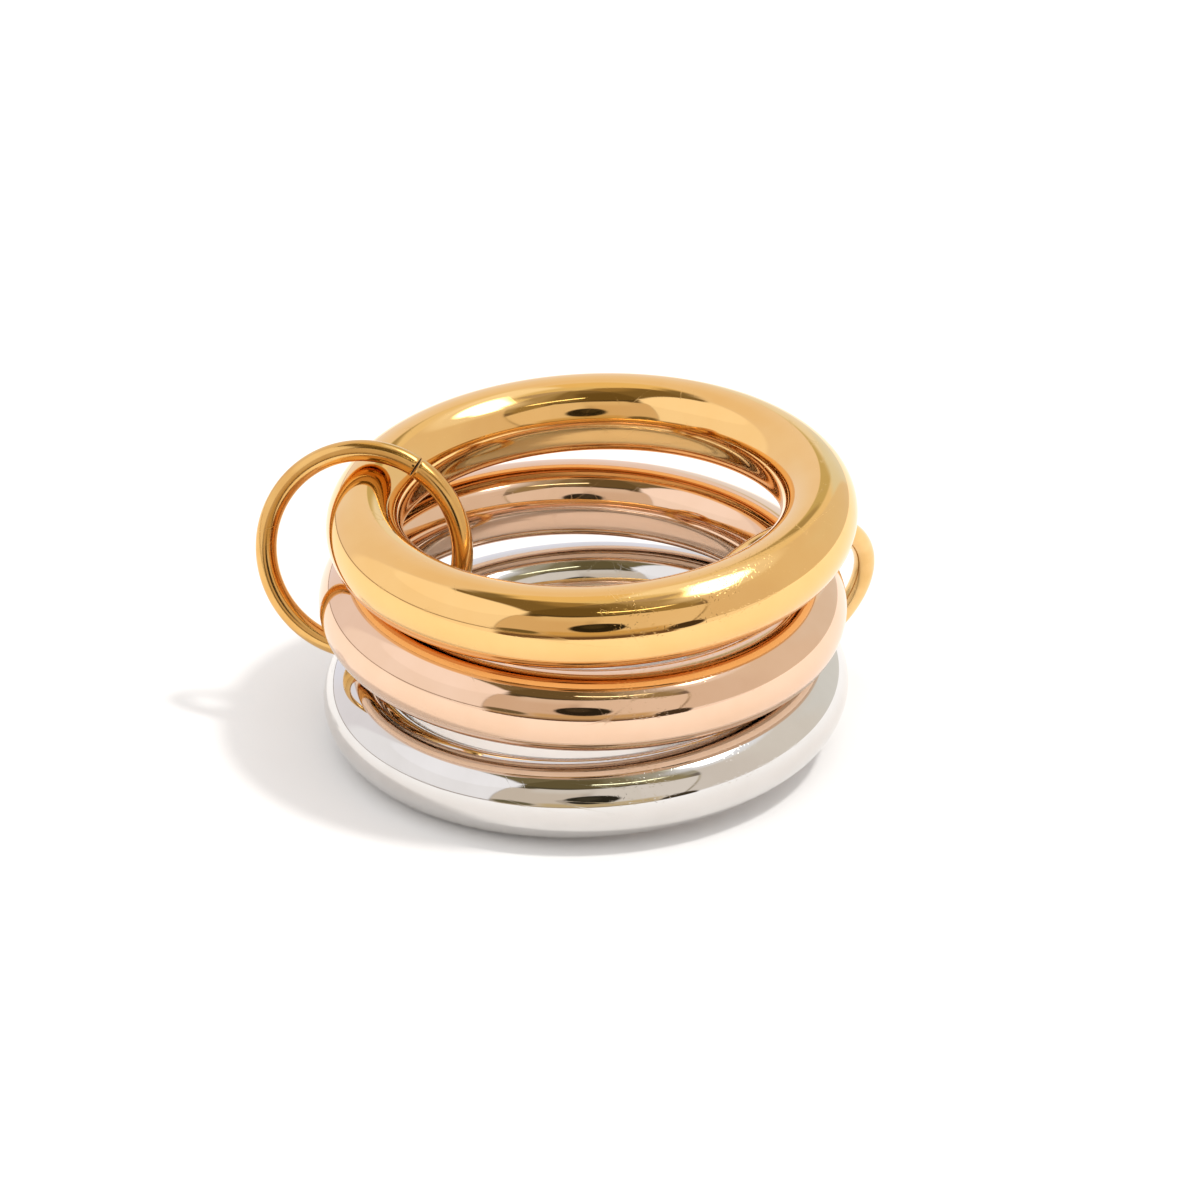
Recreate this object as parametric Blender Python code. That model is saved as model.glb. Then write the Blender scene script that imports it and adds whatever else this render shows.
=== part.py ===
"""Stackable ring: three equal round bands, joined two and two by jump rings, lying as a stack.

The steel band lies lowest, the rose gold band on it and the yellow gold band on top. One jump
ring holds steel and rose gold together at the right, the other rose gold and yellow gold at the
left. Each band lies on the band below it at one side and on a jump ring's wire at the other.
"""
import math

import bmesh
import bpy
from mathutils import Matrix, Vector

# Driving sizes, in metres
BAND_BORE = 0.0174  # the finger hole, a size 7
BAND_WIRE = 0.00355  # thickness of a band's round section
LINK_WIRE = 0.0010  # thickness of a jump ring's wire
LINK_PLAY = 0.0012  # how much wider a jump ring's hole is than the two bands in it
LINK_SLIT = 0.00012  # the cut where a jump ring is opened to go round the bands
SEAT_GAP = 0.0002  # left between pieces that touch

# How the loose pieces lie, in metres
YELLOW_SLIP = Vector((0.00023, 0.00019))  # how far a band has slid off the stack's axis
ROSE_SLIP = Vector((-0.00016, 0.00024))
STEEL_SLIP = Vector((0.0, 0.0))
RIGHT_LINK_INSET = 0.00045  # from the middle of a band's wire in towards the finger hole
LEFT_LINK_INSET = 0.0001

# How the loose pieces lie, in degrees
RIGHT_LINK_AT = 25.3  # round the stack from +X, seen from above
LEFT_LINK_AT = 173.8
RIGHT_LINK_TURN = 5.0  # from square across the bands' wire, seen from above
LEFT_LINK_TURN = -4.0
RIGHT_SLIT_AT = 250.0  # round the jump ring from its outermost point, by way of its top
LEFT_SLIT_AT = 119.5

# Faces round each ring and round its wire
BAND_FACES = (72, 16)
LINK_FACES = (16, 6)

# What follows from the driving sizes
BAND_RADIUS = (BAND_BORE + BAND_WIRE) / 2
LINK_BORE = 2 * BAND_WIRE + LINK_PLAY
LINK_RADIUS = (LINK_BORE + LINK_WIRE) / 2

# A wire under one side of a band lifts that side, and the band's middle half as much
WIRE_LIFT = LINK_WIRE + SEAT_GAP
WIRE_SLOPE = WIRE_LIFT / (2 * BAND_RADIUS)
BAND_STEP = BAND_WIRE + SEAT_GAP + WIRE_LIFT / 2


def compass(angle):
    """The level direction at an angle round the stack, in radians from +X."""
    return Vector((math.cos(angle), math.sin(angle)))


def band_place(slope, height, slip):
    """Where a band lies: its middle, and the way it slopes up, as rise over run."""
    up = Vector((-slope.x, -slope.y, 1.0))
    middle = Vector((slip.x, slip.y, height))
    return Matrix.Translation(middle) @ up.to_track_quat("Z", "Y").to_matrix().to_4x4()


def wire_height(place, angle):
    """Height of the middle of a band's wire at an angle round the stack."""
    up = place.col[2]
    out = compass(angle) * BAND_RADIUS
    return place.translation.z - (up.x * out.x + up.y * out.y) / up.z


def link_lean(two_bands):
    """How far a jump ring falls over along the bands in it before its wire touches them both."""
    return math.acos((two_bands + 2 * SEAT_GAP + LINK_WIRE) / (2 * LINK_RADIUS))


def link_reach(lean):
    """How far round the stack a leaning jump ring's top and foot are from its middle."""
    return math.asin(LINK_RADIUS * math.sin(lean) / BAND_RADIUS)


def link_place(angle, inset, turn, lean, height):
    """Where a jump ring leans: its own X points out of the stack and its own Y up."""
    middle = (compass(angle) * (BAND_RADIUS - inset)).to_3d()
    middle.z = height
    out = compass(angle + turn).to_3d()
    level = Vector((0.0, 0.0, 1.0)).cross(out)
    top = Vector((0.0, 0.0, math.cos(lean))) - level * math.sin(lean)
    side = out.cross(top)
    return Matrix.Translation(middle) @ Matrix((out, top, side)).transposed().to_4x4()


def metal(name, color, roughness):
    """A polished metal."""
    material = bpy.data.materials.new(name)
    material.use_nodes = True
    shader = material.node_tree.nodes["Principled BSDF"]
    shader.inputs["Base Color"].default_value = (*color, 1.0)
    shader.inputs["Metallic"].default_value = 1.0
    shader.inputs["Roughness"].default_value = roughness
    material.diffuse_color = (*color, 1.0)
    return material


def wire_section(bm, radius, wire, sides, angle):
    """The outline of a round wire, standing out from the axis at an angle, a flat side down."""
    flat_down = Matrix.Rotation(math.pi / sides, 4, "Z")
    upright = Matrix.Rotation(math.pi / 2, 4, "X")
    out = Matrix.Translation((radius, 0.0, 0.0))
    place = Matrix.Rotation(angle, 4, "Z") @ out @ upright @ flat_down
    bmesh.ops.create_circle(bm, segments=sides, radius=wire / 2, matrix=place)


def finished(name, bm, place, material, parent):
    """Turn a closed shape into a named piece, round where it is round and sharp at a cut."""
    bmesh.ops.recalc_face_normals(bm, faces=bm.faces)
    mesh = bpy.data.meshes.new(name)
    bm.to_mesh(mesh)
    bm.free()
    mesh.materials.append(material)
    mesh.shade_smooth()
    mesh.set_sharp_from_angle(angle=math.radians(75))
    piece = bpy.data.objects.new(name, mesh)
    piece.matrix_world = place
    piece.parent = parent
    bpy.context.collection.objects.link(piece)
    return piece


def band(name, place, material, parent):
    """A plain band: a round wire turned all the way round."""
    around, sides = BAND_FACES
    bm = bmesh.new()
    wire_section(bm, BAND_RADIUS, BAND_WIRE, sides, 0.0)
    outline = bm.verts[:] + bm.edges[:]
    bmesh.ops.spin(bm, geom=outline, cent=(0, 0, 0), axis=(0, 0, 1), angle=2 * math.pi,
                   steps=around, use_merge=True)
    return finished(name, bm, place, material, parent)


def jump_ring(name, place, slit_at, material, parent):
    """A round wire bent until its two flat ends nearly meet at the slit."""
    around, sides = LINK_FACES
    slit = LINK_SLIT / LINK_RADIUS
    bm = bmesh.new()
    wire_section(bm, LINK_RADIUS, LINK_WIRE, sides, slit_at + slit / 2)
    outline = bm.verts[:] + bm.edges[:]
    bmesh.ops.spin(bm, geom=outline, cent=(0, 0, 0), axis=(0, 0, 1), angle=2 * math.pi - slit,
                   steps=around)
    ends = [edge for edge in bm.edges if edge.is_boundary]
    bmesh.ops.holes_fill(bm, edges=ends, sides=sides)
    return finished(name, bm, place, material, parent)


def stack_places():
    """Where every piece lies, with the stack's axis at X = Y = 0 and the floor at Z = 0."""
    right_at = math.radians(RIGHT_LINK_AT)
    left_at = math.radians(LEFT_LINK_AT)

    # The right jump ring stands on the floor, with its foot under the steel band
    lean = link_lean(2 * BAND_WIRE + SEAT_GAP)
    reach = link_reach(lean)
    steel_slope = compass(right_at + reach) * WIRE_SLOPE
    steel_height = BAND_WIRE / 2 + steel_slope.length * BAND_RADIUS
    steel = band_place(steel_slope, steel_height, STEEL_SLIP)
    right_height = LINK_WIRE / 2 + LINK_RADIUS * math.cos(lean)
    right = link_place(right_at, RIGHT_LINK_INSET, math.radians(RIGHT_LINK_TURN), lean,
                       right_height)

    # The left jump ring's foot is between the steel band and the rose gold band
    rose_slope = steel_slope + compass(left_at + reach) * WIRE_SLOPE
    rose = band_place(rose_slope, steel_height + BAND_STEP, ROSE_SLIP)

    # The right jump ring's top is between the rose gold band and the yellow gold band
    yellow_slope = rose_slope + compass(right_at - reach) * WIRE_SLOPE
    yellow = band_place(yellow_slope, steel_height + 2 * BAND_STEP, YELLOW_SLIP)

    # The left jump ring holds those two bands midway between its foot and its top
    rose_here = wire_height(rose, left_at)
    yellow_here = wire_height(yellow, left_at)
    lean = link_lean(yellow_here - rose_here + BAND_WIRE + SEAT_GAP)
    left = link_place(left_at, LEFT_LINK_INSET, math.radians(LEFT_LINK_TURN), lean,
                      (rose_here + yellow_here) / 2)
    return steel, rose, yellow, right, left


def footprint_middle(pieces):
    """The middle of the lowest face of the box round the pieces."""
    points = [piece.matrix_world @ vertex.co for piece in pieces for vertex in piece.data.vertices]
    low = [min(point[axis] for point in points) for axis in range(3)]
    high = [max(point[axis] for point in points) for axis in range(3)]
    return Vector(((low[0] + high[0]) / 2, (low[1] + high[1]) / 2, low[2]))


def build():
    """Make every piece, then bring the middle of the stack's footprint to the origin."""
    for old in list(bpy.data.objects):
        bpy.data.objects.remove(old, do_unlink=True)

    stack = bpy.data.objects.new("stack", None)
    bpy.context.collection.objects.link(stack)
    yellow_gold = metal("yellow_gold", (0.83, 0.52, 0.17), 0.08)
    rose_gold = metal("rose_gold", (0.80, 0.49, 0.34), 0.08)
    steel_metal = metal("polished_steel", (0.66, 0.65, 0.63), 0.06)
    link_gold = metal("wire_gold", (0.78, 0.44, 0.12), 0.12)

    steel, rose, yellow, right, left = stack_places()
    pieces = [
        band("steel_band", steel, steel_metal, stack),
        band("rose_band", rose, rose_gold, stack),
        band("yellow_band", yellow, yellow_gold, stack),
        jump_ring("right_jump_ring", right, math.radians(RIGHT_SLIT_AT), link_gold, stack),
        jump_ring("left_jump_ring", left, math.radians(LEFT_SLIT_AT), link_gold, stack),
    ]
    bpy.context.view_layer.update()
    stack.location = -footprint_middle(pieces)
    bpy.context.view_layer.update()


build()
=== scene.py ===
"""Stackable ring: three round bands held together by two jump rings, lying on a pale floor."""

import math

import bmesh
import bpy
import numpy as np
from mathutils import Matrix, Vector


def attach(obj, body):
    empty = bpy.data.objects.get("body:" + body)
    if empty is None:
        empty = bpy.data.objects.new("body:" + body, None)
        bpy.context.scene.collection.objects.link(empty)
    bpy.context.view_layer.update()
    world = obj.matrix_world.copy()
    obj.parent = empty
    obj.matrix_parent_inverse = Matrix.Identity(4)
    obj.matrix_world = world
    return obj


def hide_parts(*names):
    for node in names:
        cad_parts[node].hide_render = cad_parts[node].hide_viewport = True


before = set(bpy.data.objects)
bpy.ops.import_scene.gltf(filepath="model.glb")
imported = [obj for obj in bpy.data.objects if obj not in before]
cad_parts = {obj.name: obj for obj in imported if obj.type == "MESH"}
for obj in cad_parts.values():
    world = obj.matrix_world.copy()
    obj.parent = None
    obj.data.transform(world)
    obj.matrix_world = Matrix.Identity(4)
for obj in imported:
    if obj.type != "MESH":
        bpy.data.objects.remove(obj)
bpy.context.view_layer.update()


# Steel band, the lowest of the three. The real one is a plain closed band of solid steel with a
# round section. It is turned and then buffed on a wheel until it mirrors the room, and has since
# picked up fine hairlines and small knocks from its neighbours.

BAND_RADIUS = 0.010475  # from the finger hole's axis to the middle of the wire
BAND_WIRE = 0.00355
BAND_FACES = (256, 72)  # round the finger and round the wire
STEEL = (0.715, 0.693, 0.672)
STEEL_CLOUDED = (0.68, 0.656, 0.63)
STEEL_TALLER = 1.02  # a hair taller than the frame's, which closes most of the gap over it
STEEL_RISE = 0.00006  # and higher, as the photo shows it
BAND_GLOSS = 0.035  # roughness of the plain polished metal


def ring_place(node):
    """Where a ring of the frame lies: own Z along its axis, X level and outward, Y upward."""
    points = np.array([vertex.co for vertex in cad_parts[node].data.vertices])
    middle = points.mean(axis=0)
    across = points - middle
    axis = Vector(np.linalg.svd(across, full_matrices=False)[2][2])
    # The circle that fits best gives the middle, because a slit weighs on the mean
    square = (across ** 2).sum(axis=1)
    flat = np.column_stack([2 * across, np.ones(len(across))])
    shift = Vector(np.linalg.lstsq(flat, square, rcond=None)[0][:3])
    middle = Vector(middle) + shift - axis * shift.dot(axis)
    level = axis.cross(Vector((0.0, 0.0, 1.0))).normalized()
    if level.dot(middle) < 0.0:
        level.negate()
    upward = axis.cross(level).normalized()
    if upward.z < 0.0:
        upward.negate()
    axis = level.cross(upward)
    return Matrix.Translation(middle) @ Matrix((level, upward, axis)).transposed().to_4x4()


def wire_ring(radius, wire, faces, start=0.0, turn=2 * math.pi):
    """A round wire bent round its own Z, closed where it turns all the way."""
    around, sides = faces
    bm = bmesh.new()
    upright = Matrix.Rotation(math.pi / 2, 4, "X")
    place = Matrix.Rotation(start, 4, "Z") @ Matrix.Translation((radius, 0.0, 0.0)) @ upright
    bmesh.ops.create_circle(bm, segments=sides, radius=wire / 2, matrix=place)
    bmesh.ops.spin(bm, geom=bm.verts[:] + bm.edges[:], cent=(0, 0, 0), axis=(0, 0, 1),
                   angle=turn, steps=around, use_merge=turn == 2 * math.pi)
    return bm


def lay_surface_map(bm, radius, wire):
    """A UV map in metres: U along the wire and V round it, for marks that follow the wire."""
    layer = bm.loops.layers.uv.new("surface")

    def angles(point):
        out = math.hypot(point.x, point.y) - radius
        return math.atan2(point.y, point.x), math.atan2(point.z, out)

    def near(angle, other):
        return angle - 2 * math.pi * round((angle - other) / (2 * math.pi))

    for face in bm.faces:
        along, round_wire = angles(face.calc_center_median())
        for loop in face.loops:
            own_along, own_round = angles(loop.vert.co)
            loop[layer].uv = (near(own_along, along) * radius,
                              near(own_round, round_wire) * wire / 2)


def place_piece(name, bm, place, material, node):
    """Finish a ring's mesh where the frame's ring lies, and let it stand for that ring."""
    bmesh.ops.transform(bm, matrix=place, verts=bm.verts)
    bmesh.ops.recalc_face_normals(bm, faces=bm.faces)
    mesh = bpy.data.meshes.new(name)
    bm.to_mesh(mesh)
    bm.free()
    mesh.materials.append(material)
    mesh.shade_smooth()
    piece = bpy.data.objects.new(name, mesh)
    bpy.context.collection.objects.link(piece)
    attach(piece, "root")
    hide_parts(node)
    return piece


def add(tree, kind, values=(), **settings):
    """A node with its settings made and its inputs filled, from a value or another socket."""
    node = tree.nodes.new(kind)
    for name, setting in settings.items():
        setattr(node, name, setting)
    for key, value in dict(values).items():
        if isinstance(value, bpy.types.NodeSocket):
            tree.links.new(value, node.inputs[key])
        else:
            node.inputs[key].default_value = value
    return node


def math_node(tree, operation, *values, clamp=False):
    """The result of one sum on values or sockets."""
    numbered = {place: value for place, value in enumerate(values)}
    return add(tree, "ShaderNodeMath", numbered, operation=operation, use_clamp=clamp).outputs[0]


def new_group(name, inputs, outputs):
    """An empty shader group with its sockets, and the ends that its nodes join on to."""
    group = bpy.data.node_groups.new(name, "ShaderNodeTree")
    for label, kind, value in inputs:
        socket = group.interface.new_socket(label, in_out="INPUT", socket_type=kind)
        if value is not None:
            socket.default_value = value
    for label, kind in outputs:
        group.interface.new_socket(label, in_out="OUTPUT", socket_type=kind)
    given = group.nodes.new("NodeGroupInput").outputs
    result = group.nodes.new("NodeGroupOutput").inputs
    return group, given, result


def hairline_group():
    """Thin broken lines in one direction, as a soft wheel or a grain of dust leaves them."""
    group, given, result = new_group(
        "hairlines",
        [("Surface", "NodeSocketVector", None), ("Angle", "NodeSocketFloat", 0.0),
         ("Spacing", "NodeSocketFloat", 0.0006), ("Length", "NodeSocketFloat", 0.008),
         ("Thinness", "NodeSocketFloat", 0.02), ("Seed", "NodeSocketFloat", 0.0)],
        [("Lines", "NodeSocketFloat")])
    turned = add(group, "ShaderNodeVectorRotate", {"Vector": given["Surface"],
                 "Angle": given["Angle"]}, rotation_type="Z_AXIS").outputs[0]
    split = add(group, "ShaderNodeSeparateXYZ", {"Vector": turned}).outputs
    along = math_node(group, "DIVIDE", split["X"], given["Length"])
    across = math_node(group, "DIVIDE", split["Y"], given["Spacing"])
    drawn = add(group, "ShaderNodeCombineXYZ",
                {"X": along, "Y": across, "Z": given["Seed"]}).outputs[0]
    field = add(group, "ShaderNodeTexNoise", {"Vector": drawn, "Scale": 1.0, "Detail": 1.0,
                "Roughness": 0.4}).outputs["Fac"]
    contour = math_node(group, "ABSOLUTE", math_node(group, "SUBTRACT", field, 0.5))
    line = add(group, "ShaderNodeMapRange", {"Value": contour, "From Min": 0.0,
               "From Max": given["Thinness"], "To Min": 1.0, "To Max": 0.0},
               interpolation_type="SMOOTHSTEP").outputs[0]
    breaks = add(group, "ShaderNodeTexNoise", {"Vector": drawn, "Scale": 2.3, "Detail": 0.0}
                 ).outputs["Fac"]
    kept = add(group, "ShaderNodeMapRange", {"Value": breaks, "From Min": 0.52,
               "From Max": 0.62}, interpolation_type="SMOOTHSTEP").outputs[0]
    group.links.new(math_node(group, "MULTIPLY", line, kept), result["Lines"])
    return group


def fleck_group():
    """Short straight nicks, each turned its own way, where one metal has knocked on another."""
    group, given, result = new_group(
        "flecks",
        [("Surface", "NodeSocketVector", None), ("Density", "NodeSocketFloat", 6000.0),
         ("Share", "NodeSocketFloat", 0.7), ("Length", "NodeSocketFloat", 0.00009),
         ("Width", "NodeSocketFloat", 0.000024)],
        [("Flecks", "NodeSocketFloat")])
    cells = add(group, "ShaderNodeTexVoronoi", {"Vector": given["Surface"],
                "Scale": given["Density"]}, voronoi_dimensions="2D").outputs
    chance = add(group, "ShaderNodeSeparateColor", {"Color": cells["Color"]}).outputs
    away = add(group, "ShaderNodeVectorMath", {0: given["Surface"], 1: cells["Position"]},
               operation="SUBTRACT").outputs[0]
    own_angle = math_node(group, "MULTIPLY", chance[0], math.pi)
    turned = add(group, "ShaderNodeVectorRotate", {"Vector": away, "Angle": own_angle},
                 rotation_type="Z_AXIS").outputs[0]
    split = add(group, "ShaderNodeSeparateXYZ", {"Vector": turned}).outputs

    def within(value, limit):
        return add(group, "ShaderNodeMapRange", {"Value": math_node(group, "ABSOLUTE", value),
                   "From Min": 0.0, "From Max": limit, "To Min": 1.0, "To Max": 0.0},
                   interpolation_type="SMOOTHSTEP").outputs[0]

    fleck = math_node(group, "MULTIPLY", within(split["X"], given["Length"]),
                      within(split["Y"], given["Width"]))
    there = math_node(group, "LESS_THAN", chance[1], given["Share"])
    group.links.new(math_node(group, "MULTIPLY", fleck, there), result["Flecks"])
    return group


MARK_DEPTH = 0.12  # depths are shares of the bump's full height
NICK_DEPTH = 0.46
MARK_ROUGHNESS = 0.22
NICK_ROUGHNESS = 0.04
CLOUD_ROUGHNESS = 0.02
INNER_ROUGHNESS = 0.035
BUMP_HEIGHT = 0.000006
RUBBED_AT = (0.0050, -0.0082, 0.0)  # the front right, where the bands have rubbed most
SEED_SPREAD = 7.0  # keeps the three families of hairlines apart


def polish_group(hairlines, flecks):
    """What buffing and wear leave on a metal: hairlines, nicks, pits, faint waves and clouding."""
    group, given, result = new_group(
        "polished metal",
        [("Surface", "NodeSocketVector", None), ("Place", "NodeSocketVector", None),
         ("Gloss", "NodeSocketFloat", 0.04), ("Wear", "NodeSocketFloat", 1.0),
         ("Seed", "NodeSocketFloat", 0.0)],
        [("Roughness", "NodeSocketFloat"), ("Height", "NodeSocketFloat"),
         ("Clouding", "NodeSocketFloat")])
    lines = None
    for angle, spacing, length, thinness in (
            (0.15, 0.0011, 0.012, 0.010), (1.05, 0.0013, 0.006, 0.010),
            (-0.75, 0.0016, 0.009, 0.008)):
        own = add(group, "ShaderNodeGroup", {}, node_tree=hairlines)
        group.links.new(given["Surface"], own.inputs["Surface"])
        group.links.new(math_node(group, "ADD", given["Seed"], angle * SEED_SPREAD),
                        own.inputs["Seed"])
        own.inputs["Angle"].default_value = angle
        own.inputs["Spacing"].default_value = spacing
        own.inputs["Length"].default_value = length
        own.inputs["Thinness"].default_value = thinness
        one = own.outputs["Lines"]
        lines = one if lines is None else math_node(group, "MAXIMUM", lines, one)

    # Small pits, in about one cell of five
    cells = add(group, "ShaderNodeTexVoronoi", {"Vector": given["Surface"], "Scale": 1400.0})
    deep = math_node(group, "LESS_THAN", cells.outputs["Distance"], 0.045)
    chosen = add(group, "ShaderNodeSeparateColor", {"Color": cells.outputs["Color"]}).outputs[0]
    pits = math_node(group, "MULTIPLY", deep, math_node(group, "GREATER_THAN", chosen, 0.8))

    clouds = add(group, "ShaderNodeTexNoise", {"Vector": given["Place"], "Scale": 420.0,
                 "Detail": 3.0, "Roughness": 0.6}).outputs["Fac"]
    patches = add(group, "ShaderNodeTexNoise", {"Vector": given["Place"], "Scale": 260.0,
                  "Detail": 1.0}).outputs["Fac"]
    worn_here = add(group, "ShaderNodeMapRange", {"Value": patches, "From Min": 0.42,
                    "From Max": 0.66, "To Min": 0.25, "To Max": 1.0}).outputs[0]
    marks = math_node(group, "MAXIMUM", math_node(group, "MULTIPLY", lines, worn_here), pits)
    marks = math_node(group, "MULTIPLY", marks, given["Wear"])

    # Nicks lie in clusters, most of them where the bands have rubbed
    nicks = add(group, "ShaderNodeGroup", {}, node_tree=flecks)
    group.links.new(given["Surface"], nicks.inputs["Surface"])
    crowded = add(group, "ShaderNodeMapRange", {"Value": patches, "From Min": 0.36,
                  "From Max": 0.54}).outputs[0]
    level = add(group, "ShaderNodeVectorMath", {0: given["Place"], 1: (1.0, 1.0, 0.0)},
                operation="MULTIPLY").outputs[0]
    away = add(group, "ShaderNodeVectorMath", {0: level, 1: RUBBED_AT},
               operation="DISTANCE").outputs["Value"]
    rubbed = add(group, "ShaderNodeMapRange", {"Value": away, "From Min": 0.0030,
                 "From Max": 0.0056, "To Min": 1.0, "To Max": 0.04},
                 interpolation_type="SMOOTHSTEP").outputs[0]
    crowded = math_node(group, "MULTIPLY", crowded, rubbed)
    dents = math_node(group, "MULTIPLY", nicks.outputs["Flecks"], crowded)
    dents = math_node(group, "MULTIPLY", dents, given["Wear"])

    clouding = add(group, "ShaderNodeMapRange", {"Value": clouds, "From Min": 0.35,
                   "From Max": 0.75}).outputs[0]
    base = math_node(group, "MULTIPLY_ADD", clouding, CLOUD_ROUGHNESS, given["Gloss"])
    # The wheel does not reach far into the finger hole, so that side is left a little duller
    round_wire = add(group, "ShaderNodeSeparateXYZ", {"Vector": given["Surface"]}).outputs["Y"]
    inner = add(group, "ShaderNodeMapRange", {"Value": math_node(group, "ABSOLUTE", round_wire),
                "From Min": 0.0036, "From Max": 0.0050, "To Max": INNER_ROUGHNESS},
                interpolation_type="SMOOTHSTEP").outputs[0]
    base = math_node(group, "ADD", base, inner)
    rough = math_node(group, "MULTIPLY_ADD", marks, MARK_ROUGHNESS, base)
    rough = math_node(group, "MULTIPLY_ADD", dents, NICK_ROUGHNESS, rough)
    group.links.new(rough, result["Roughness"])

    waves = add(group, "ShaderNodeTexNoise", {"Vector": given["Place"], "Scale": 240.0,
                "Detail": 0.0}).outputs["Fac"]
    height = math_node(group, "MULTIPLY_ADD", marks, -MARK_DEPTH, waves)
    height = math_node(group, "MULTIPLY_ADD", dents, -NICK_DEPTH, height)
    group.links.new(height, result["Height"])
    group.links.new(clouding, result["Clouding"])
    return group


POLISHED = polish_group(hairline_group(), fleck_group())


def metal_material(name, colour, clouded, gloss, wear, seed):
    """A polished metal with its own colour, gloss and wear."""
    material = bpy.data.materials.new(name)
    material.use_nodes = True
    tree = material.node_tree
    shader = tree.nodes["Principled BSDF"]
    shader.inputs["Metallic"].default_value = 1.0
    coordinates = add(tree, "ShaderNodeTexCoord").outputs
    polish = add(tree, "ShaderNodeGroup", {}, node_tree=POLISHED)
    tree.links.new(coordinates["UV"], polish.inputs["Surface"])
    tree.links.new(coordinates["Object"], polish.inputs["Place"])
    polish.inputs["Gloss"].default_value = gloss
    polish.inputs["Wear"].default_value = wear
    polish.inputs["Seed"].default_value = seed
    tint = add(tree, "ShaderNodeMix", {"Factor": polish.outputs["Clouding"]}, data_type="RGBA")
    tint.inputs["A"].default_value = (*colour, 1.0)
    tint.inputs["B"].default_value = (*clouded, 1.0)
    bump = add(tree, "ShaderNodeBump", {"Strength": 1.0, "Distance": BUMP_HEIGHT,
               "Height": polish.outputs["Height"]})
    tree.links.new(tint.outputs["Result"], shader.inputs["Base Color"])
    tree.links.new(polish.outputs["Roughness"], shader.inputs["Roughness"])
    tree.links.new(bump.outputs["Normal"], shader.inputs["Normal"])
    return material


def band(name, material, node, taller, rise=0.0):
    """A closed round band in place of the frame's own, its section a little taller or higher."""
    bm = wire_ring(BAND_RADIUS, BAND_WIRE, BAND_FACES)
    lay_surface_map(bm, BAND_RADIUS, BAND_WIRE)
    bmesh.ops.scale(bm, vec=(1.0, 1.0, taller), verts=bm.verts)
    place = Matrix.Translation((0.0, 0.0, rise)) @ ring_place(node)
    return place_piece(name, bm, place, material, node)


steel = metal_material("polished steel", STEEL, STEEL_CLOUDED, BAND_GLOSS, 1.0, 3.0)
band("steel_round_band", steel, "steel_band", STEEL_TALLER, STEEL_RISE)


# Rose gold band, the middle one. The real one is the same steel band with a coat of rose gold
# colour laid on in a vacuum chamber. The coat is as hard and bright as the steel under it.

ROSE_GOLD = (0.83, 0.58, 0.415)
ROSE_GOLD_CLOUDED = (0.80, 0.545, 0.375)
COATED_TALLER = 1.045  # taller than the frame's, which closes most of the gap between the bands
rose_gold = metal_material("rose gold", ROSE_GOLD, ROSE_GOLD_CLOUDED, BAND_GLOSS, 0.9, 11.0)
band("rose_round_band", rose_gold, "rose_band", COATED_TALLER)


# Yellow gold band, the top one. It is made as the rose gold band is, with a yellow gold coat,
# and as the outermost band it carries the most hairlines.

YELLOW_GOLD = (0.88, 0.56, 0.225)
YELLOW_GOLD_CLOUDED = (0.86, 0.53, 0.20)
yellow_gold = metal_material("yellow gold", YELLOW_GOLD, YELLOW_GOLD_CLOUDED, BAND_GLOSS, 1.1,
                             23.0)
band("yellow_round_band", yellow_gold, "yellow_band", COATED_TALLER)


# Jump rings. Each is a length of round gold coloured wire, cut square, wound round two bands and
# closed with pliers until its ends nearly meet. They are tumbled, so they shine less than the
# bands do.

LINK_RADIUS = 0.00465
LINK_WIRE = 0.0010
LINK_FACES = (160, 32)
LINK_SLIT = 0.00012
LINK_GLOSS = 0.13
CUT_GLOSS = 0.35
RIGHT_SLIT_AT = math.radians(250.0)  # round the ring from its outermost point, by way of its top
LEFT_SLIT_AT = math.radians(119.5)
LEFT_LINK_LEAN = math.radians(1.8)  # a little further over, so that it all but meets the bands
LINK_END_BEVEL = 0.00004
LINK_GOLD = (0.78, 0.475, 0.165)
LINK_GOLD_CLOUDED = (0.70, 0.38, 0.11)
LIGHT_LINK_GOLD = (0.90, 0.60, 0.27)  # the right-hand ring is given a paler gold than the left-hand one
CUT_END_PAINTED_SHADE = (0.16, 0.11, 0.06)  # the ends are left rough as the cutter made them; their dark colour is painted shade, so the slit between them shows dark
CUT_END_PAINTED_SHADE_CLOUDED = (0.10, 0.07, 0.04)


def jump_ring(name, material, node, slit_at, lean=0.0):
    """A wire ring open at a fine slit, its cut ends square with their edges broken."""
    slit = LINK_SLIT / LINK_RADIUS
    bm = wire_ring(LINK_RADIUS, LINK_WIRE, LINK_FACES, slit_at + slit / 2, 2 * math.pi - slit)
    lay_surface_map(bm, LINK_RADIUS, LINK_WIRE)
    rims = [edge for edge in bm.edges if edge.is_boundary]
    # The cut ends take the second material, whose dark colour is painted shade for the slit
    for face in bmesh.ops.holes_fill(bm, edges=rims, sides=LINK_FACES[1])["faces"]:
        face.material_index = 1
    bmesh.ops.bevel(bm, geom=rims, offset=LINK_END_BEVEL, offset_type="OFFSET", segments=2,
                    profile=0.5, affect="EDGES", material=-1)
    place = ring_place(node) @ Matrix.Rotation(lean, 4, "X")
    ring = place_piece(name, bm, place, material, node)
    ring.data.materials.append(cut_end_painted_shade)
    return ring


link_gold = metal_material("wire gold", LINK_GOLD, LINK_GOLD_CLOUDED, LINK_GLOSS, 1.0, 31.0)
light_link_gold = metal_material("light wire gold", LIGHT_LINK_GOLD, LINK_GOLD, LINK_GLOSS, 1.0,
                                 37.0)
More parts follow.
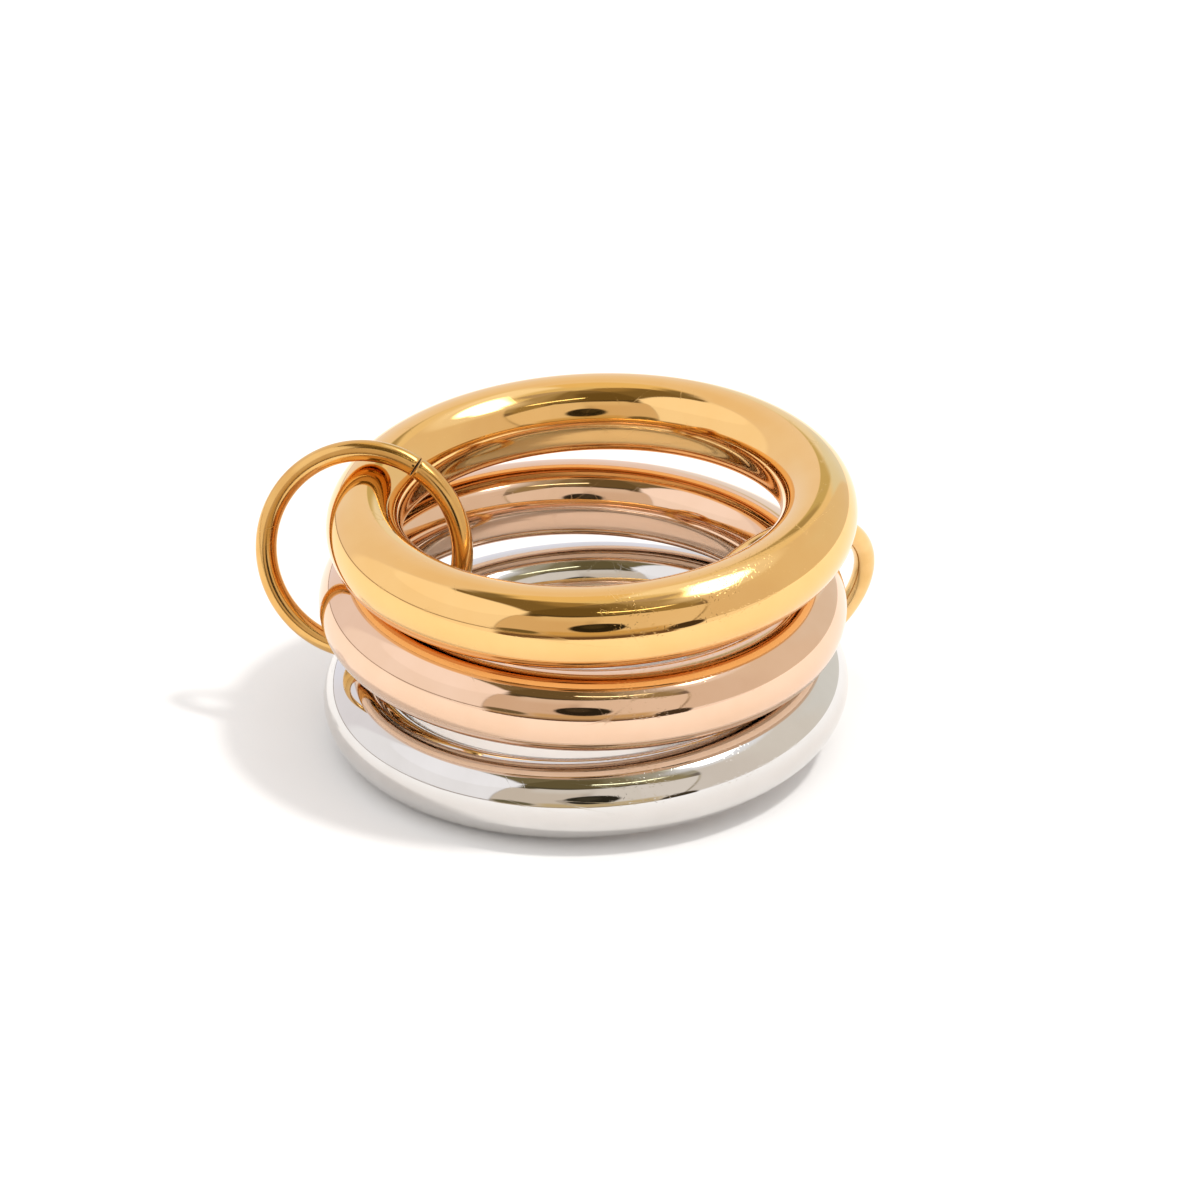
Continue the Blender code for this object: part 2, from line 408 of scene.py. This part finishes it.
# Dark colour of the cut ends: painted shade in the slit, not the metal's own colour
cut_end_painted_shade = metal_material("cut wire painted shade", CUT_END_PAINTED_SHADE, CUT_END_PAINTED_SHADE_CLOUDED, CUT_GLOSS, 1.0, 43.0)
jump_ring("right_wire_ring", light_link_gold, "right_jump_ring", RIGHT_SLIT_AT)
jump_ring("left_wire_ring", link_gold, "left_jump_ring", LEFT_SLIT_AT, LEFT_LINK_LEAN)


# Floor. A wide sheet of matt white board, which carries the shadow and shows in the metal.

FLOOR_SIDE = 1.6
FLOOR_FRONT = -0.054  # where the board ends, in front of the ring
FLOOR_TOP = -0.00002  # the round wires reach a hair lower than the frame's flat-sided ones
BOARD_WHITE = (0.905, 0.893, 0.883, 1.0)
floor_mesh = bpy.data.meshes.new("floor")
bm = bmesh.new()
bmesh.ops.create_grid(bm, x_segments=1, y_segments=1, size=FLOOR_SIDE / 2,
                      matrix=Matrix.Translation((0.0, FLOOR_FRONT + FLOOR_SIDE / 2, FLOOR_TOP)))
bm.to_mesh(floor_mesh)
bm.free()
floor = bpy.data.objects.new("floor", floor_mesh)
bpy.context.collection.objects.link(floor)
board = bpy.data.materials.new("white board")
board.use_nodes = True
shader = board.node_tree.nodes["Principled BSDF"]
shader.inputs["Base Color"].default_value = BOARD_WHITE
shader.inputs["Roughness"].default_value = 1.0
shader.inputs["Specular IOR Level"].default_value = 0.0
floor_mesh.materials.append(board)


# Studio light. A white tent lit from outside, with a panel on each side, a gap behind, a strip
# light overhead at the back right, and an opening at the front that shows the dark of a lens.
# Directions are degrees: azimuth 0 is behind the ring, 90 at its right. Elevation is over the floor.

def card_group():
    """How far a direction lies on a panel with straight edges that may slant."""
    group, given, result = new_group(
        "tent panel",
        [(label, "NodeSocketFloat", value) for label, value in (
            ("Azimuth", 0.0), ("Elevation", 0.0), ("Left", -10.0), ("Right", 10.0),
            ("Low", 0.0), ("High", 10.0), ("Left Slant", 0.0), ("Right Slant", 0.0),
            ("Low Slant", 0.0), ("High Slant", 0.0), ("Soft Left", 1.0), ("Soft Right", 1.0),
            ("Soft Low", 1.0), ("Soft High", 1.0))],
        [("Mask", "NodeSocketFloat")])
    middle = math_node(group, "MULTIPLY", math_node(group, "ADD", given["Left"],
                                                    given["Right"]), 0.5)
    turned = add(group, "ShaderNodeMath", {0: math_node(group, "SUBTRACT", given["Azimuth"],
                 middle), 1: 180.0, 2: -180.0}, operation="WRAP").outputs[0]
    azimuth = math_node(group, "ADD", turned, middle)

    def inside(value, edge, soft):
        low = math_node(group, "SUBTRACT", edge, soft)
        high = math_node(group, "ADD", edge, soft)
        return add(group, "ShaderNodeMapRange", {"Value": value, "From Min": low,
                   "From Max": high}, interpolation_type="SMOOTHSTEP").outputs[0]

    left = math_node(group, "MULTIPLY_ADD", given["Elevation"], given["Left Slant"],
                     given["Left"])
    right = math_node(group, "MULTIPLY_ADD", given["Elevation"], given["Right Slant"],
                      given["Right"])
    low = math_node(group, "MULTIPLY_ADD", turned, given["Low Slant"], given["Low"])
    high = math_node(group, "MULTIPLY_ADD", turned, given["High Slant"], given["High"])
    mask = math_node(group, "MULTIPLY", inside(azimuth, left, given["Soft Left"]),
                     math_node(group, "SUBTRACT", 1.0,
                               inside(azimuth, right, given["Soft Right"])))
    upright = math_node(group, "MULTIPLY", inside(given["Elevation"], low, given["Soft Low"]),
                        math_node(group, "SUBTRACT", 1.0, inside(given["Elevation"], high,
                                                                 given["Soft High"])))
    group.links.new(math_node(group, "MULTIPLY", mask, upright), result["Mask"])
    return group


def oval_group():
    """How far a direction lies on an oval."""
    group, given, result = new_group(
        "tent oval",
        [(label, "NodeSocketFloat", value) for label, value in (
            ("Azimuth", 0.0), ("Elevation", 0.0), ("Middle", 0.0), ("Height", 0.0),
            ("Half Width", 10.0), ("Half Height", 10.0), ("Soft", 0.1))],
        [("Mask", "NodeSocketFloat")])
    turned = add(group, "ShaderNodeMath", {0: math_node(group, "SUBTRACT", given["Azimuth"],
                 given["Middle"]), 1: 180.0, 2: -180.0}, operation="WRAP").outputs[0]
    across = math_node(group, "DIVIDE", turned, given["Half Width"])
    up = math_node(group, "DIVIDE", math_node(group, "SUBTRACT", given["Elevation"],
                                              given["Height"]), given["Half Height"])
    far = math_node(group, "SQRT", math_node(group, "ADD",
                    math_node(group, "MULTIPLY", across, across),
                    math_node(group, "MULTIPLY", up, up)))
    near_edge = math_node(group, "SUBTRACT", 1.0, given["Soft"])
    far_edge = math_node(group, "ADD", 1.0, given["Soft"])
    mask = add(group, "ShaderNodeMapRange", {"Value": far, "From Min": near_edge,
               "From Max": far_edge, "To Min": 1.0, "To Max": 0.0},
               interpolation_type="SMOOTHSTEP").outputs[0]
    group.links.new(mask, result["Mask"])
    return group


world = bpy.data.worlds.new("studio")
bpy.context.scene.world = world
world.use_nodes = True
tent = world.node_tree
tent.nodes.clear()
split = add(tent, "ShaderNodeSeparateXYZ",
            {"Vector": add(tent, "ShaderNodeTexCoord").outputs["Generated"]}).outputs
azimuth = math_node(tent, "DEGREES", math_node(tent, "ARCTAN2", split["X"], split["Y"]))
elevation = math_node(tent, "DEGREES", math_node(tent, "ARCSINE", split["Z"]))
PANEL = card_group()
OVAL = oval_group()


def lay(under, colour, shape, **sizes):
    """Lay a panel or an oval of one colour over what is there, and give back the result."""
    made = add(tent, "ShaderNodeGroup", {}, node_tree=shape)
    tent.links.new(azimuth, made.inputs["Azimuth"])
    tent.links.new(elevation, made.inputs["Elevation"])
    for name, value in sizes.items():
        made.inputs[name.replace("_", " ").title()].default_value = value
    return add(tent, "ShaderNodeMix", {"Factor": made.outputs["Mask"], "A": under,
               "B": (*colour, 1.0)}, data_type="RGBA").outputs["Result"]


# Overhead, dim between the lights: lighter at the right and over the gap, dark at the left
light = lay((0.22, 0.18, 0.15, 1.0), (0.84, 0.78, 0.56), PANEL, left=-180, right=180, low=56,
            high=95)
light = lay(light, (0.93, 0.80, 0.51), PANEL, left=-60, right=4, low=54, high=80, soft_left=6,
            soft_high=5)
light = lay(light, (0.35, 0.27, 0.13), PANEL, left=-150, right=-56, low=54, high=87,
            soft_right=10, soft_high=3)
light = lay(light, (0.22, 0.17, 0.08), PANEL, left=-142, right=-57, low=54, high=77,
            soft_right=6, soft_high=3)
light = lay(light, (0.25, 0.21, 0.12), OVAL, middle=-56, height=64.5, half_width=19,
            half_height=4.5, soft=0.5)
light = lay(light, (0.46, 0.41, 0.30), PANEL, left=118, right=154, low=46, high=92,
            soft_left=4, soft_right=4)
light = lay(light, (0.27, 0.22, 0.12), PANEL, left=151, right=184, low=48, high=88,
            soft_left=8, soft_high=3)
light = lay(light, (0.36, 0.29, 0.15), PANEL, left=131, right=152, low=30, high=57,
            soft_left=4, soft_right=4)
light = lay(light, (0.24, 0.19, 0.11), PANEL, left=183, right=222, low=46, high=88,
            soft_left=1.5, soft_high=3)
light = lay(light, (0.16, 0.12, 0.05), PANEL, left=176, right=222, low=46, high=77,
            soft_left=7, soft_high=5)
light = lay(light, (3.8, 3.7, 2.4), PANEL, left=140, right=182.5, low=58.4, high=59.8,
            low_slant=0.13, high_slant=0.13, soft_left=6, soft_low=0.4, soft_high=0.4)
light = lay(light, (0.10, 0.08, 0.04), PANEL, left=154, right=216, low=47, high=52.5,
            soft_left=5, soft_high=1)

# Left side of the tent, whose top is rounded
light = lay(light, (1.09, 1.07, 1.08), PANEL, left=-139.5, right=-58, low=-20, high=57.5,
            high_slant=0.03, soft_high=1.2)
light = lay(light, (0.97, 0.93, 0.95), PANEL, left=-61, right=5, low=-20, high=61, soft_left=3,
            soft_right=3, soft_high=4)
light = lay(light, (0.96, 0.88, 0.81), PANEL, left=-58, right=3, low=43, high=59, soft_left=6,
            soft_right=3, soft_low=8, soft_high=3)
light = lay(light, (1.16, 1.145, 1.17), OVAL, middle=-102, height=47, half_width=40,
            half_height=17, soft=0.07)
light = lay(light, (0.97, 0.97, 1.06), PANEL, left=-35, right=5, low=-20, high=26, soft_left=8,
            soft_high=8)

# Back, where the tent opens on a brighter strip with a dark fold over it
light = lay(light, (0.95, 0.885, 0.72), PANEL, left=3, right=34, low=-20, high=60, soft_left=3)
light = lay(light, (0.95, 1.02, 1.07), PANEL, left=3, right=13, low=-20, high=27,
            soft_right=2, soft_high=4)
light = lay(light, (0.85, 0.97, 1.05), PANEL, left=12, right=30, low=-20, high=27,
            soft_right=4, soft_left=2, soft_high=4)
light = lay(light, (0.64, 0.61, 0.38), PANEL, left=3, right=19, low=25, high=37, soft_low=3,
            soft_high=2, soft_right=2)
light = lay(light, (0.46, 0.41, 0.26), PANEL, left=4, right=17, low=35, high=42, soft_left=2,
            soft_right=2, soft_high=2)

# Right side of the tent, and the key light over it
light = lay(light, (0.56, 0.48, 0.34), PANEL, left=120, left_slant=-0.34, right=160,
            right_slant=-0.34, low=-20, high=38)
light = lay(light, (0.34, 0.28, 0.19), PANEL, left=120, left_slant=-0.34, right=160,
            right_slant=-0.34, low=-20, high=24, soft_high=9)
light = lay(light, (0.865, 0.795, 0.70), PANEL, left=30, right=140.3, right_slant=-0.34,
            low=-20, high=56.5, soft_left=3, soft_right=1.2)
light = lay(light, (0.83, 0.745, 0.655), PANEL, left=98, right=140.3, right_slant=-0.34,
            low=-20, high=56, soft_left=10, soft_right=1.2)
light = lay(light, (0.86, 0.83, 0.76), PANEL, left=29, right=62, low=-20, high=36,
            soft_right=10, soft_high=8)
light = lay(light, (0.99, 0.955, 0.89), PANEL, left=8, right=112, low=51, high=62, soft_low=3,
            soft_left=4, soft_right=8)
light = lay(light, (1.11, 1.15, 1.20), PANEL, left=4, right=66, low=55, high=76, soft_low=2.5,
            soft_left=4, soft_right=8, soft_high=4)
light = lay(light, (0.52, 0.47, 0.42), PANEL, left=66, right=124, low=76, high=91,
            soft_left=10, soft_right=3, soft_low=2)
light = lay(light, (1.0, 1.0, 1.02), OVAL, middle=78, height=62, half_width=50,
            half_height=11, soft=0.35)
light = lay(light, (6.0, 5.9, 5.6), OVAL, middle=70, height=66.5, half_width=39.5,
            half_height=7.3, soft=0.24)
light = lay(light, (6.0, 5.9, 5.6), OVAL, middle=97, height=60.5, half_width=14,
            half_height=3.7, soft=0.4)

# Front opening, with the lens
light = lay(light, (0.90, 0.82, 0.73), PANEL, left=141.8, left_slant=-0.34, right=161,
            low=-20, high=46.5, high_slant=0.37, soft_left=0.7)
light = lay(light, (0.87, 0.79, 0.69), PANEL, left=158, right=182, low=-20, high=49.5,
            soft_right=5)
light = lay(light, (0.76, 0.65, 0.53), PANEL, left=182, right=220.4, low=-20, high=47,
            high_slant=-0.15, soft_left=5, soft_right=0.6)
light = lay(light, (0.83, 0.75, 0.65), PANEL, left=178, right=209, low=38, high=48.2,
            soft_low=6, soft_left=5, soft_right=3)
light = lay(light, (0.68, 0.52, 0.28), PANEL, left=150, right=200, low=-2, high=8.5,
            soft_high=3, soft_left=5, soft_right=4)
light = lay(light, (0.03, 0.025, 0.015), OVAL, middle=179, height=18.5, half_width=12,
            half_height=11.5)
light = lay(light, (0.06, 0.05, 0.03), OVAL, middle=181, height=22, half_width=5,
            half_height=5, soft=0.3)
light = lay(light, (0.18, 0.15, 0.08), OVAL, middle=211, height=3, half_width=9,
            half_height=5, soft=0.25)

# Below the horizon: the far floor, a dark edge in front and a thin one at the left
light = lay(light, (1.14, 1.12, 1.12), PANEL, left=-180, right=180, low=-95, high=-0.5,
            soft_high=0.3)
light = lay(light, (0.48, 0.42, 0.38), PANEL, left=-141, right=-20, low=-1.2, high=1.2,
            soft_low=0.5, soft_high=0.5, soft_right=12)
light = lay(light, (0.50, 0.38, 0.22), PANEL, left=146, right=219, low=-12, high=-0.5,
            soft_left=3, soft_right=3, soft_high=0.5)
light = lay(light, (0.17, 0.11, 0.07), PANEL, left=146, right=219, low=-12, high=-4.5,
            soft_left=3, soft_right=3, soft_low=0.7)
light = lay(light, (0.07, 0.05, 0.03), OVAL, middle=142, height=-1.5, half_width=8,
            half_height=7, soft=0.15)

# Only the metal mirrors the tent. The board gets its even light, and the camera sees white
EVEN_LIGHT = (1.0, 0.998, 1.0, 1.0)
EVEN_STRENGTH = 1.05
WHITE = (1.0, 1.0, 1.0, 1.0)
path = add(tent, "ShaderNodeLightPath").outputs
mirrored = add(tent, "ShaderNodeBackground", {"Color": light, "Strength": 1.0}).outputs[0]
even = add(tent, "ShaderNodeBackground", {"Color": EVEN_LIGHT, "Strength": EVEN_STRENGTH}
           ).outputs[0]
white = add(tent, "ShaderNodeBackground", {"Color": WHITE, "Strength": 1.0}).outputs[0]
unseen = add(tent, "ShaderNodeMixShader", {0: path["Is Diffuse Ray"], 1: mirrored, 2: even}
             ).outputs[0]
seen = add(tent, "ShaderNodeMixShader", {0: path["Is Camera Ray"], 1: unseen, 2: white}
           ).outputs[0]
add(tent, "ShaderNodeOutputWorld", {"Surface": seen})
world.cycles.sampling_method = "NONE"

# The strip light again, as the lamp that throws the board's shadow
KEY_FROM = Vector((0.90, -0.10, 1.9))
KEY_SIZE = 0.24  # across the disk, which sets how soft the shadow's edge is
KEY_POWER = 18.5
KEY_COLOUR = (1.0, 0.985, 0.96)
key = bpy.data.lights.new("strip light", "AREA")
key.shape = "DISK"
key.size = KEY_SIZE
key.energy = KEY_POWER
key.color = KEY_COLOUR
strip = bpy.data.objects.new("strip light", key)
bpy.context.collection.objects.link(strip)
strip.matrix_world = (Matrix.Translation(KEY_FROM) @
                      KEY_FROM.to_track_quat("Z", "Y").to_matrix().to_4x4())
strip.visible_glossy = False
strip.visible_camera = False
bpy.context.scene.view_settings.view_transform = "Standard"


# Camera. A long lens a little above the ring, looking down at it from the front. Its place and
# lens are those that fit the outlines of all five pieces in the photo.

LOOK_AT = Vector((0.001526, -0.000119, 0.006799))
LOOK_FROM = 0.25096
LOOK_DOWN = math.radians(26.494)
LEAN = math.radians(0.4)
FOCAL_LENGTH = 162.5  # in millimetres, as the sensor's width is
SENSOR_WIDTH = 36.0
lens = bpy.data.cameras.new("camera")
lens.sensor_width = SENSOR_WIDTH
lens.lens = FOCAL_LENGTH
lens.clip_start = 0.01
lens.clip_end = 10.0
camera = bpy.data.objects.new("camera", lens)
bpy.context.collection.objects.link(camera)
back = Vector((0.0, -math.cos(LOOK_DOWN), math.sin(LOOK_DOWN)))
turned = (-back).to_track_quat("-Z", "Y").to_matrix().to_4x4() @ Matrix.Rotation(LEAN, 4, "Z")
camera.matrix_world = Matrix.Translation(LOOK_AT + back * LOOK_FROM) @ turned
bpy.context.scene.camera = camera
